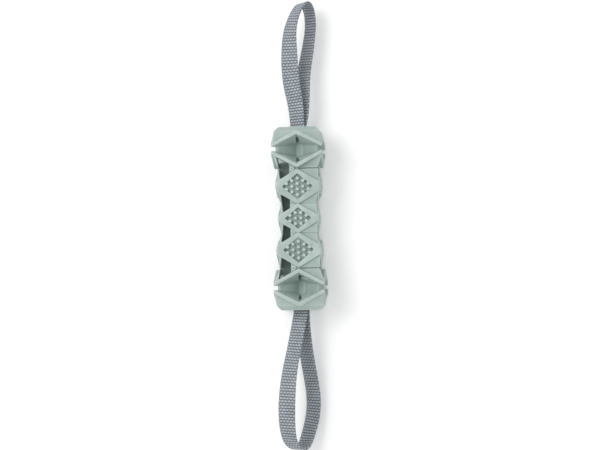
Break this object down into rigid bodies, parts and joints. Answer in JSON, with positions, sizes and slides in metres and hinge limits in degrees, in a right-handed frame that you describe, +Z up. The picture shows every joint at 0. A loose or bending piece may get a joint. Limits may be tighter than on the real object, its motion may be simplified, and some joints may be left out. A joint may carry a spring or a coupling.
{
  "type": "dog training bumper",
  "caption": "Moulded rubber dog bumper with nubbed diamond pads, treat pockets and a webbing hand loop at each end.",
  "frame": {"origin": "centre of the bounding box at its base: the surface that the bar rests on", "axes": "+X along the bar towards the shorter, narrower loop; +Z up, out of the bar's top face; +Y across the bar"},
  "size_m": [0.394, 0.0446, 0.0446],
  "materials": {
    "sage_rubber": "satin moulded",
    "grey_webbing": "plain woven",
    "sewing_thread": "twisted thread"
  },
  "bodies": {
    "bar": {"bumper_body": "sage_rubber", "webbing_front_run": "grey_webbing", "webbing_lower_end": "grey_webbing", "webbing_upper_end": "grey_webbing", "lap_stitching": "sewing_thread"},
    "upper_handle": {"upper_loop": "grey_webbing"},
    "lower_handle": {"lower_loop": "grey_webbing"}
  },
  "joints": [
    {"name": "upper_loop_flop", "type": "hinge", "parent": "bar", "child": "upper_handle", "pos_m": [0.088, 0, 0.0223], "axis": [-0.0485, -0.693, 0.7193], "range_deg": [-70, 70], "stiffness_Nm_per_rad": 0.12},
    {"name": "lower_loop_flop", "type": "hinge", "parent": "bar", "child": "lower_handle", "pos_m": [-0.0774, 0, 0.0223], "axis": [-0.0226, -0.8087, 0.5878], "range_deg": [-70, 70], "stiffness_Nm_per_rad": 0.15}
  ]
}
